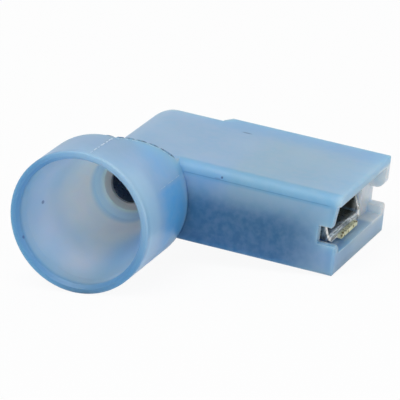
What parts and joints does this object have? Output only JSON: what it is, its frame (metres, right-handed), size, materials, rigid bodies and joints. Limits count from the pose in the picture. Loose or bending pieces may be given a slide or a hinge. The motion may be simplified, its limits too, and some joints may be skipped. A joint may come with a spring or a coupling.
{
  "type": "female spade terminal",
  "caption": "Right-angle push-on spade terminal: a folded receptacle and crimp barrel in a moulded nylon housing with a round wire cup.",
  "frame": {"origin": "where the wire barrel's axis crosses the centre line of the tab slot", "axes": "+X towards the tab mouth, -Y towards the wire cup's rim, +Z away from the receptacle's flat base"},
  "size_m": [0.0263, 0.022, 0.0126],
  "materials": {
    "nylon": "frosted translucent nylon",
    "tinned_brass": "bright tin plate, bare brass at the sheared edge"
  },
  "bodies": {
    "root": {"housing": "nylon", "terminal": "tinned_brass"}
  },
  "joints": []
}
